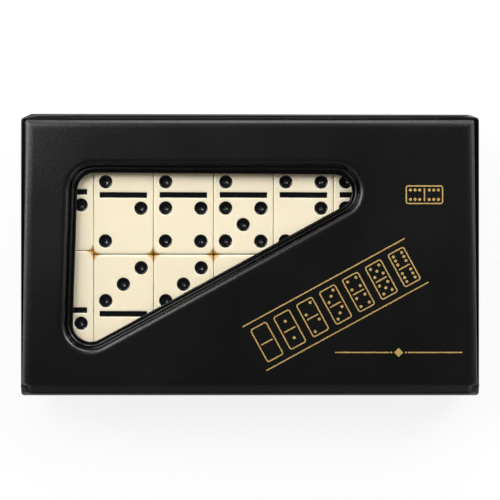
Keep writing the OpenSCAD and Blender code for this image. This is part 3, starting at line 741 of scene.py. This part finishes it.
def slab(size, inner_y, side_y):
    """Points, faces and ink of everything outside the cells: margin, rounded edges, sides, back."""
    half_x, half_y, height = size[0] / 2, size[1] / 2, size[2]
    over = np.radians(np.linspace(0, 90, CORNER_STEPS + 1))
    loops = [with_z(slab_ring(3 * CELL_X, inner_y, 0.0, side_y), height)]
    for base, sign, turns in ((height - EDGE_R, 1, over), (EDGE_R, -1, over[::-1])):
        for t in turns:
            inset = EDGE_R * (1 - np.sin(t))
            corner = TOP_CORNER + (SIDE_CORNER - TOP_CORNER) * np.sin(t)
            loops.append(with_z(slab_ring(half_x - inset, half_y - inset, corner, side_y),
                                base + sign * EDGE_R * np.cos(t)))
    inset = EDGE_R + BACK_MARGIN
    loops.append(with_z(slab_ring(half_x - inset, half_y - inset, BACK_CORNER, side_y), 0.0))
    points = np.concatenate(loops)
    return points, capped_faces(len(loops), len(loops[0]), both=False), np.zeros(len(points))


print("steps round an edge or corner of the slab:", CORNER_STEPS)

# %% One domino


def domino(size, pips):
    """Points, faces and ink of a domino of this size about the middle of its back; pips[0] counts
    the half towards +Y. The cells fill the face between its margins."""
    quarter_y = size[1] / 4
    inner_y = quarter_y + 3 * CELL_Y
    half_strip = quarter_y - 3 * CELL_Y
    ends = np.linspace(half_strip, inner_y, 3 * CELL_STEPS + 1)
    middle = np.linspace(-half_strip, half_strip, STRIP_STEPS + 1)[1:-1]
    side_y = np.concatenate([-ends[::-1], middle, ends]) / inner_y
    parts = [slab(size, inner_y, side_y), bar_strip(half_strip, size[2])]
    for side, count in zip((1, -1), pips):
        full = pips_of(count)
        for column in (-1, 0, 1):
            for row in (-1, 0, 1):
                cell = pip_cell if (column, row) in full else plain_cell
                parts.append(cell(2 * CELL_X * column, side * quarter_y + 2 * CELL_Y * row, size[2]))
    points, faces, ink = [], [], []
    for some_points, some_faces, some_ink in parts:
        start = sum(map(len, points))
        faces += [np.asarray(face) + start for face in some_faces]
        points.append(some_points)
        ink.append(some_ink)
    return np.concatenate(points), faces, np.concatenate(ink)


sample = domino((20, 40, 6), (6, 6))[0]
print("points of a double six:", len(sample))

# %% Painted shade on sides and corners
# Where the painted shade darkens corners and sides, for the light that fills the gaps between tiles
CORNER_DEPTH, CORNER_REACH, CORNER_FADE = 0.1, 2.2, 0.5  # where a corner turns yellow, and how softly
SIDE_DEPTH, SIDE_FADE = 0.5, 1.6  # a side starts to turn yellow at that depth, and over that length


def painted_gap_shade(points):
    """From 0 to 1, how much painted shade each point of a domino gets: the larger of its depth below
    the face, measured from SIDE_DEPTH on, and its nearness to one of the face's corners."""
    half_x, half_y, height = points.max(0)
    to_corner = np.hypot(half_x - abs(points[:, 0]), half_y - abs(points[:, 1]))
    depth = height - points[:, 2]
    corner = (np.clip(depth / CORNER_DEPTH, 0, 1)
              * np.clip((CORNER_REACH - to_corner) / CORNER_FADE, 0, 1))
    return np.clip(np.maximum((depth - SIDE_DEPTH) / SIDE_FADE, corner), 0, 1)


print("unpolished share of a double six:", round(float(painted_gap_shade(sample).mean()), 2))

# %% [markdown]
# ## Laying the set out
# The frame has every domino's place and size, so a domino only needs to know its own pips. In the
# case the rows are never quite square: the upper dominoes of a row lean by a fraction of a degree, all
# the same way, because a row leans as one stack. Only the first of each row stands straight. Dropping
# them in a physics simulation would scatter them anew, and the frame's places would be lost.

# %% The set
ROWS = {
    "row_back_lower": [(0, 1), (0, 3), (0, 4), (0, 5), (0, 6), (1, 1), (1, 2)],
    "row_front_lower": [(1, 6), (2, 3), (2, 4), (2, 5), (4, 4), (4, 5), (6, 6)],
    "row_back_upper": [(0, 2), (2, 2), (3, 4), (3, 5), (6, 2), (5, 6), (1, 4)],
    "row_front_upper": [(1, 3), (3, 3), (3, 6), (1, 5), (4, 6), (0, 0), (5, 5)],
}
LEAN = {"row_back_upper": -0.35, "row_front_upper": -0.15}  # degrees, seen from above
body_of = {node: body for body, nodes in frame["record"]["behaviour"]["bodies"].items()
           for node in nodes}

for tiles in ROWS.values():
    for pips in tiles:
        node = f"domino_{min(pips)}_{max(pips)}"
        low, high = box_mm(node)
        points, faces, ink = domino(high - low + (0, 2 * END_FIT, 0), pips)
        place = np.array([*(low + high)[:2] / 2, low[2]])
        lean = LEAN.get(body_of[node], 0)
        # The edge attribute carries the painted shade of sides and corners
        piece = make_piece(f"tile_{min(pips)}_{max(pips)}", turned(points, lean) + place, faces, ivory,
                           body_of[node], {"ink": ink, "edge": painted_gap_shade(points)})
        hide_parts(node)

# %% [markdown]
# ## Walls and floor
# The base is a tray of board, wrapped in the same vinyl as the lid. The wrap goes up the outside and
# over the rim, so its section is a hook carried once round the base. A second sheet, welded along its
# border, closes the underside. A box with a Solidify modifier would be quicker, but its rim would be
# square, and a rim of folded vinyl is round.

# %% Vinyl of the base
wall_low, wall_high = box_mm("wall_cover")
tray_low, tray_high = box_mm("tray_lining")
BASE = [(wall_low[0], wall_low[1]), (wall_high[0], wall_low[1]),
        (wall_high[0], wall_high[1]), (wall_low[0], wall_high[1])]
LINING = 0.3  # thickness of the tray's lining
WALL = tray_low[0] - wall_low[0] + LINING  # thickness of the wall with its lining
RIM_Z = wall_high[2]
SOFT_EDGE = 0.45  # rounding of the rim
BASE_R, BASE_INNER_R = 1.2, 0.15  # corner radius outside, and the least one inside


def base_ring(inset, z):
    """Rounded rectangle round the base at height z."""
    return with_z(round_loop(BASE, inset, max(BASE_R - inset, BASE_INNER_R), 8, 40), z)


bend = np.radians(np.linspace(0, 90, 6))
over_rim = [(SOFT_EDGE * (1 - np.cos(t)), RIM_Z - SOFT_EDGE * (1 - np.sin(t))) for t in bend]
rings = [base_ring(0.08, wall_low[2] + APART), base_ring(0.0, wall_low[2] + 0.15)]
rings += [base_ring(inset, z) for inset, z in over_rim]
rings += [base_ring(WALL - inset, z) for inset, z in over_rim[::-1]]
rings += [base_ring(WALL, tray_high[2] + APART), base_ring(SHEET, tray_high[2] + APART),
          base_ring(SHEET, wall_low[2] + APART)]
wall_vinyl = make_piece("wall_vinyl", np.concatenate(rings),
                        grid_faces(len(rings), len(rings[0]), close_rows=True),
                        vinyl, "base")
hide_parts("wall_cover")

# %% Vinyl of the underside
floor_high = box_mm("bottom_cover")[1]
# Inset and height of each ring: a soft edge first, and then a weld line sunk by 0.14 mm
profile = [(0.25, floor_high[2]), (0.05, floor_high[2] - 0.05), (0.0, 0.38), (0.0, 0.22), (0.12, 0.05),
           (0.3, 0.0), (2.2, 0.0), (2.35, 0.14), (2.9, 0.14), (3.05, 0.0), (6.0, 0.0)]
rings = [base_ring(inset, z) for inset, z in profile]
faces = capped_faces(len(rings), len(rings[0]))
floor_vinyl = make_piece("floor_vinyl", np.concatenate(rings), faces, vinyl, "base")
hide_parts("bottom_cover")

# %% [markdown]
# ## Spine, hinge and folds
# At the back the wall's vinyl is padded with foam and bulges out. Above it, the same sheet rolls over
# to the lid and is the only hinge that the case has. At the front, the lid's vinyl bends down to the
# flap in a wider roll. Both bends are one sheet in the real case, so each is one piece here, and the
# hinge roll and the fold belong to no body. Two rigid halves would be simpler, but a gap would open
# between them as soon as the case does.

# %% Sheets that follow a section
SWEEP_STEPS = 40


def swept_sheet(name, section, half_x, body, swell=0.0):
    """Vinyl with a closed section in y and z, carried along x between -half_x and half_x. Both half_x
    and swell have a value per point: half_x cuts the ends slanted or round, and swell is how far the
    left end stands further out than the right one."""
    t = np.linspace(-1, 1, SWEEP_STEPS + 1)[:, None]
    y = section[:, 0] + (1 - t) / 2 * swell
    points = np.stack(np.broadcast_arrays(t * half_x, y, section[:, 1]), -1).reshape(-1, 3)
    return make_piece(name, points, capped_faces(SWEEP_STEPS + 1, len(section)), vinyl, body)


def arc_points(centre, radius, start, end, steps):
    """Points of an arc in y and z; angles in degrees, 0 towards +Y and 90 upwards."""
    t = np.radians(np.linspace(start, end, steps + 1))
    return np.c_[centre[0] + radius * np.cos(t), centre[1] + radius * np.sin(t)]


def bulge_share(section):
    """From 0 at the wall to 1 at the bulge's face, how far out each point of a section stands."""
    return np.clip((section[:, 0] - back) / BULGE, 0, 1)


print("steps along a sheet:", SWEEP_STEPS)

# %% Spine
spine_low, spine_high = box_mm("spine_cover")
BULGE, SPINE_R, TAPER = spine_high[1] - spine_low[1], 0.8, 3.0  # depth, rounding, slant of the ends
SWELL = 0.3  # the padding is that much fuller at the left end
back = spine_low[1]
section = np.concatenate([
    [(back, spine_low[2])],
    arc_points((spine_high[1] - SPINE_R, spine_low[2] + SPINE_R), SPINE_R, -90, 0, 8),
    arc_points((spine_high[1] - SPINE_R, spine_high[2] - SPINE_R), SPINE_R, 0, 90, 8),
    [(back, spine_high[2])],
])
out = bulge_share(section)
spine_vinyl = swept_sheet("spine_vinyl", section, spine_high[0] - TAPER * out, "base", SWELL * out)
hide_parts("spine_cover")

# %% Hinge roll
hinge_low, hinge_high = box_mm("hinge_fold")
HINGE_R = 0.7
TUCK = 0.05  # how far its lower end goes down into the spine
hinge = (hinge_high[1] - HINGE_R, hinge_high[2] - HINGE_R)
section = np.concatenate([
    [(hinge_high[1], hinge_low[2] - TUCK)],
    arc_points(hinge, HINGE_R, 0, 90, 14),
    [(hinge_low[1] + 0.05, hinge_high[2]), (hinge_low[1], hinge_high[2] - 0.1),
     (hinge_low[1], hinge_high[2] - SHEET)],
    arc_points(hinge, HINGE_R - SHEET, 90, 0, 10),
    [(hinge_high[1] - SHEET, hinge_low[2] - TUCK)],
])
out = bulge_share(section)
hinge_vinyl = swept_sheet("hinge_vinyl", section, hinge_high[0] - TAPER * out, None, SWELL * out)
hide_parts("hinge_fold")
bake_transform(hinge_vinyl)

# %% Sizes of the fold between lid and flap
fold_low, fold_high = box_mm("flap_fold")
joints = {joint["name"]: joint for joint in frame["record"]["behaviour"]["joints"]}
_, fold_y, fold_z = (value / MM for value in joints["flap_hinge"]["pos_m"])
FOLD_T = 0.6  # thickness of the fold's vinyl
END_R = 1.0  # rounding of the fold's ends, seen from above
# The fold's outer line is given by its tilt: how steeply it falls at each distance along it
FOLD_AT = [0.0, 0.2, 1.0, 2.0, 2.3, 3.0, 3.8, 4.3]  # distance along the line, in mm
FOLD_TILT = [8, 17, 20, 24, 40, 54, 76, 90]  # degrees
FOLD_STEPS, DROP_STEPS = 40, 5  # points on the curve, and on the straight part below it
UNDER_LID = [(0.35, -0.25), (0.12, -0.06), (0, 0)]  # the start of the line, tucked in under the lid
start = np.array([fold_y + 0.98, TOP - 0.04])
front = fold_low[1] - 0.6 * OVERHANG
print("the fold runs from", start.round(2), "to y =", round(float(front), 2))

# %% Fold between lid and flap
# The outer line adds up short steps along the tilt, and the inner one lies square to it, one
# thickness away. The ends are a quarter circle seen from above.
along = np.linspace(0, FOLD_AT[-1], FOLD_STEPS)
tilt = np.radians(np.interp(along, FOLD_AT, FOLD_TILT))
step = along[1] - along[0]
fall = np.cumsum(np.c_[-np.cos(tilt), -np.sin(tilt)] * step, axis=0)
fall[:, 0] *= (front - start[0]) / fall[-1, 0]
outer = start + np.concatenate([UNDER_LID, fall])
tilt = np.concatenate([[0, 0, tilt[0]], tilt])
inner = outer - FOLD_T * np.c_[-np.sin(tilt), np.cos(tilt)]
straight = np.linspace(outer[-1, 1], fold_low[2], DROP_STEPS + 1)[1:]
outer = np.concatenate([outer, np.c_[np.full(DROP_STEPS, front), straight]])
inner = np.concatenate([inner, np.c_[np.full(DROP_STEPS, front + FOLD_T), straight]])
section = np.concatenate([outer, inner[::-1]])
depth_in = np.clip((front + END_R - section[:, 0]) / END_R, 0, 1)
fold_half = fold_high[0] - END_R * (1 - np.sqrt(1 - depth_in**2))
fold_vinyl = swept_sheet("fold_vinyl", section, fold_half, None)
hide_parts("flap_fold")
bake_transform(fold_vinyl)

# %% [markdown]
# ## The flap
# The flap is a thin padded strip with a weld flange round it and two press studs. It is built like
# the lid: loops in the flap's own plane, stacked outwards, then laid against the front of the case.
# A bevelled box would come close, but it has no flange, and the flange is what shows the weld.

# %% Vinyl of the flap
flap_low, flap_high = box_mm("flap_cover")
FLAP_ROLL, FLAP_FLANGE = 0.9, 1.0  # radius of the pad's edge, and width of the flange
FLAP_R, FLAP_PAD_R = 2.0, 0.3  # corner radius of the flange, and the least one of the pad
TOP_HOLD = 0.85  # share of an inset that the top side doesn't take part in
flap_out = flap_high[1] - flap_low[1]
plan = [(flap_low[0], flap_low[2]), (flap_high[0], flap_low[2]),
        (flap_high[0], flap_high[2]), (flap_low[0], flap_high[2])]


def flap_ring(inset, height):
    """Rounded outline of the flap in x and z, at a height above its inner face, as points in space.
    Its top side moves in least, because there the vinyl runs on into the fold."""
    corners = np.array(plan) + np.outer([0, 0, 1, 1], (0, TOP_HOLD * inset))
    loop = round_loop(corners, inset, max(FLAP_R - inset, FLAP_PAD_R), 8, 40)
    return np.column_stack([loop[:, 0], np.full(len(loop), flap_high[1] - height), loop[:, 1]])


bend = np.radians(np.linspace(0, 90, 7))
flange = [flap_ring(0.0, 0.05), flap_ring(0.0, SHEET - 0.08), flap_ring(0.08, SHEET),
          flap_ring(FLAP_FLANGE - 0.06, SHEET + 0.03)]
pad = [flap_ring(FLAP_FLANGE + FLAP_ROLL * (1 - np.cos(t)), flap_out - FLAP_ROLL * (1 - np.sin(t)))
       for t in bend]
rings = flange + pad
faces = capped_faces(len(rings), len(rings[0]))
pressed = np.repeat([1] * len(flange) + [0] * len(pad), len(rings[0]))
flap_vinyl = make_piece("flap_vinyl", np.concatenate(rings), faces, vinyl, "flap",
                        {"pressed": pressed})
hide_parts("flap_cover")

# %% [markdown]
# ## Pieces that stay as they are
# Boards, foam, linings, film and press studs already have the right shape in the frame. They could be
# built again here, but nothing would look better for it. They only need their own materials.

# %% Materials of the frame's own pieces
finishes = {"vinyl": vinyl, "lining": lining, "board": greyboard, "foam": foam, "film": film,
            "ivory": ivory, "stud_metal": nickel, "cap_paint": cap_enamel, "foil": gold_foil}
slots = {part["node"]: part["material_slot"] for part in frame["record"]["subparts"]}
for name, node in frame["nodes"].items():
    node.data.materials.clear()
    node.data.materials.append(finishes[slots[name]])
print("dressed:", len(slots))

# %% [markdown]
# ## Studio
# The picture looks straight down on the closed case, so the lens is long and the camera stands over
# the middle. Black vinyl shows its lamps more than its colour, so the lamps are low: panels behind and
# at the left draw the highlights along the rolled edges, and nothing overhead greys the lid's face.
# Two small panels stand nearer, which lets the face fade from its back left corner to the front. A
# picture of a room could light the case instead, but panels can be set one by one.

# %% Camera
FOCAL_PX, IMAGE_PX = 1076.8, 500  # focal length in pixels of a 500 x 500 picture
SHIFT_PX = 6  # how far the case stands off the picture's middle
SENSOR = 36.0  # width of the sensor in mm
CAMERA_UP = 355.0  # distance from the lid's face, in mm
camera_data = bpy.data.cameras.new("camera")
camera_data.sensor_width = SENSOR
camera_data.lens = SENSOR * FOCAL_PX / IMAGE_PX
camera = bpy.data.objects.new("camera", camera_data)
camera.location = (0.0, 0.0, (TOP + CAMERA_UP) * MM)
bpy.context.scene.collection.objects.link(camera)
bpy.context.scene.camera = camera
camera_data.shift_y = SHIFT_PX / IMAGE_PX
print("lens in mm:", round(camera_data.lens, 2))

# %% Lamps


def panel(name, azimuth, elevation, distance, size, power):
    """Square soft panel that faces the case; azimuth in degrees from the back towards the right."""
    data = bpy.data.lights.new(name, "AREA")
    data.shape, data.size, data.energy = "SQUARE", size, power
    lamp = bpy.data.objects.new(name, data)
    a, e = np.radians([azimuth, elevation])
    lamp.location = distance * np.array([np.cos(e) * np.sin(a), np.cos(e) * np.cos(a), np.sin(e)])
    lamp.rotation_euler = (-lamp.location).to_track_quat("-Z", "Y").to_euler()
    bpy.context.scene.collection.objects.link(lamp)


FAR, NEAR = (0.9, 0.42), (0.5, 0.26)  # distance and width of a panel, in metres
LAMPS = [  # name, azimuth and elevation in degrees, distance and width, power in watts
    ("back_right", 45, 24, FAR, 5.1),
    ("right", 75, 25, FAR, 1.5),
    ("back", 0, 24, FAR, 3.8),
    ("back_left", 290, 22, FAR, 4.1),
    ("left", 270, 15, FAR, 0.95),
    ("front_left", 225, 35, FAR, 0.6),
    ("front", 180, 42, FAR, 0.2),
    ("front_right", 135, 35, FAR, 0.95),
    ("near_left", 308, 42, NEAR, 1.4),
    ("near_right", 45, 35, NEAR, 0.75),
]
for name, azimuth, elevation, (distance, size), power in LAMPS:
    panel(f"{name}_panel", azimuth, elevation, distance, size, power)
print("lamps:", len(LAMPS), "total power:", round(sum(lamp[-1] for lamp in LAMPS), 2))

# %% Floor
FLOOR_WIDTH = 6.0  # metres
FLOOR_GLOW = 0.85  # how white the paper is made where the camera sees it
FLOOR_MIRRORED = 0.15  # and where a glossy surface mirrors it
floor_material, tree, output = new_material("paper_floor")
path = add_node(tree, "ShaderNodeLightPath")
seen = add_node(tree, "ShaderNodeMath",
                {0: path.outputs["Is Camera Ray"], 1: path.outputs["Is Transmission Ray"]},
                operation="MAXIMUM")
mirrored = add_node(tree, "ShaderNodeMath", {0: path.outputs["Is Glossy Ray"], 1: FLOOR_MIRRORED},
                    operation="MULTIPLY")
fac = add_node(tree, "ShaderNodeMath",
               {0: seen.outputs[0], 1: FLOOR_GLOW, 2: mirrored.outputs[0]}, operation="MULTIPLY_ADD")
paper = add_node(tree, "ShaderNodeBsdfDiffuse", {"Color": linear("#f6f6f6")})
glow = add_node(tree, "ShaderNodeEmission", {"Color": WHITE, "Strength": 1.0})
mixed = add_node(tree, "ShaderNodeMixShader",
                 {0: fac.outputs[0], 1: paper.outputs[0], 2: glow.outputs[0]})
tree.links.new(mixed.outputs[0], output.inputs["Surface"])
bpy.ops.mesh.primitive_plane_add(size=FLOOR_WIDTH, location=(0, 0, 0))
floor = bpy.context.active_object
floor.name = "floor"
floor.data.materials.append(floor_material)
print("floor:", floor.name)

# %% World
# The camera sees white behind the floor, but the world gives no light: the lamps alone do
world = bpy.data.worlds.new("studio")
bpy.context.scene.world = world
world.use_nodes = True
tree = world.node_tree
tree.nodes.clear()
path = add_node(tree, "ShaderNodeLightPath")
room = add_node(tree, "ShaderNodeBackground", {"Color": WHITE, "Strength": 0.0})
backdrop = add_node(tree, "ShaderNodeBackground", {"Color": WHITE, "Strength": 1.0})
mixed = add_node(tree, "ShaderNodeMixShader",
                 {0: path.outputs["Is Camera Ray"], 1: room.outputs[0], 2: backdrop.outputs[0]})
add_node(tree, "ShaderNodeOutputWorld", {"Surface": mixed.outputs[0]})
print("world:", world.name)

# %% View
bpy.context.scene.view_settings.view_transform = "Standard"
